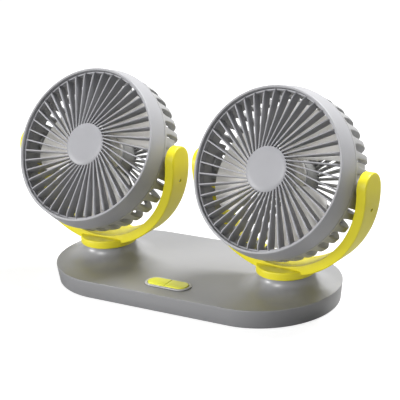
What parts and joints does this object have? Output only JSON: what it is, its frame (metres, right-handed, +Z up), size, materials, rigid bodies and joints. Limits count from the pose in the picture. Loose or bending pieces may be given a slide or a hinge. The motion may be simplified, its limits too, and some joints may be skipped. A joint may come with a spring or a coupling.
{
  "type": "dual head car fan",
  "caption": "Car fan with a pair of round caged heads that tilt in yokes, and yokes that swivel on one long rounded base with push buttons.",
  "frame": {"origin": "centre of the base's underside, on the surface that the fan stands on", "axes": "+Z up, +X along the base towards the right-hand head seen from the front, -Y towards the front where the air goes"},
  "size_m": [0.2994, 0.114, 0.16],
  "materials": {
    "deck_grey": "satin light grey moulded shell",
    "body_grey": "satin mid grey moulding",
    "grille_grey": "satin grey moulding",
    "bezel_grey": "satin light grey",
    "lemon_yellow": "satin lemon yellow moulding",
    "button_yellow": "bright yellow cap",
    "warm_grey": "slightly translucent light grey blades",
    "dark_rubber": "dull black",
    "black_plastic": "black moulding",
    "board_green": "lacquered circuit board",
    "plated_steel": "plated"
  },
  "bodies": {
    "base": {"base_top_shell": "deck_grey", "base_bottom_plate": "body_grey", "anti_slip_pad": "dark_rubber", "control_board": "board_green", "left_switch_body": "black_plastic", "right_switch_body": "black_plastic", "button_bezel": "bezel_grey", "power_socket": "plated_steel", "base_screw_1": "plated_steel", "base_screw_2": "plated_steel", "base_screw_3": "plated_steel", "base_screw_4": "plated_steel"},
    "left_button": {"left_button": "button_yellow", "left_switch_plunger": "button_yellow"},
    "left_yoke": {"left_yoke": "lemon_yellow", "left_yoke_cover": "lemon_yellow", "left_arm_screw_a": "plated_steel", "left_arm_screw_b": "plated_steel", "left_swivel_spindle": "black_plastic", "left_spring_washer": "plated_steel", "left_swivel_nut": "plated_steel"},
    "left_head": {"left_front_ring": "body_grey", "left_front_grille": "grille_grey", "left_rear_guard": "body_grey", "left_pivot_pin_a": "plated_steel", "left_pivot_pin_b": "plated_steel", "left_friction_washer_a": "dark_rubber", "left_friction_washer_b": "dark_rubber", "left_motor": "plated_steel", "left_motor_screw_a": "plated_steel", "left_motor_screw_b": "plated_steel"},
    "left_fan": {"left_impeller": "warm_grey", "left_motor_shaft": "plated_steel"},
    "right_button": {"right_button": "button_yellow", "right_switch_plunger": "button_yellow"},
    "right_yoke": {"right_yoke": "lemon_yellow", "right_yoke_cover": "lemon_yellow", "right_arm_screw_a": "plated_steel", "right_arm_screw_b": "plated_steel", "right_swivel_spindle": "black_plastic", "right_spring_washer": "plated_steel", "right_swivel_nut": "plated_steel"},
    "right_head": {"right_front_ring": "body_grey", "right_front_grille": "grille_grey", "right_rear_guard": "body_grey", "right_pivot_pin_a": "plated_steel", "right_pivot_pin_b": "plated_steel", "right_friction_washer_a": "dark_rubber", "right_friction_washer_b": "dark_rubber", "right_motor": "plated_steel", "right_motor_screw_a": "plated_steel", "right_motor_screw_b": "plated_steel"},
    "right_fan": {"right_impeller": "warm_grey", "right_motor_shaft": "plated_steel"}
  },
  "joints": [
    {"name": "left_swivel", "type": "hinge", "parent": "base", "child": "left_yoke", "pos_m": [-0.07801, 0, 0.0251], "axis": [0, 0, 1], "range_deg": [-170, 170]},
    {"name": "left_tilt", "type": "hinge", "parent": "left_yoke", "child": "left_head", "pos_m": [-0.07801, 0, 0.09701], "axis": [-1, 0, 0], "range_deg": [-119.4, 60.6]},
    {"name": "left_spin", "type": "hinge", "parent": "left_head", "child": "left_fan", "pos_m": [-0.07801, 0, 0.09701], "axis": [0, -0.8712, 0.4909], "continuous": true},
    {"name": "left_press", "type": "slide", "parent": "base", "child": "left_button", "axis": [0, 0, -1], "range_m": [0, 0.0008], "stiffness_N_per_m": 1200, "springref_m": -0.0003},
    {"name": "right_swivel", "type": "hinge", "parent": "base", "child": "right_yoke", "pos_m": [0.07801, 0, 0.0251], "axis": [0, 0, 1], "range_deg": [-165.8, 174.2]},
    {"name": "right_tilt", "type": "hinge", "parent": "right_yoke", "child": "right_head", "pos_m": [0.07801, 0, 0.09701], "axis": [-0.9973, 0.0732, 0], "range_deg": [-116, 64]},
    {"name": "right_spin", "type": "hinge", "parent": "right_head", "child": "right_fan", "pos_m": [0.07801, 0, 0.09701], "axis": [-0.0658, -0.8964, 0.4384], "continuous": true},
    {"name": "right_press", "type": "slide", "parent": "base", "child": "right_button", "axis": [0, 0, -1], "range_m": [0, 0.0008], "stiffness_N_per_m": 1200, "springref_m": -0.0003}
  ]
}
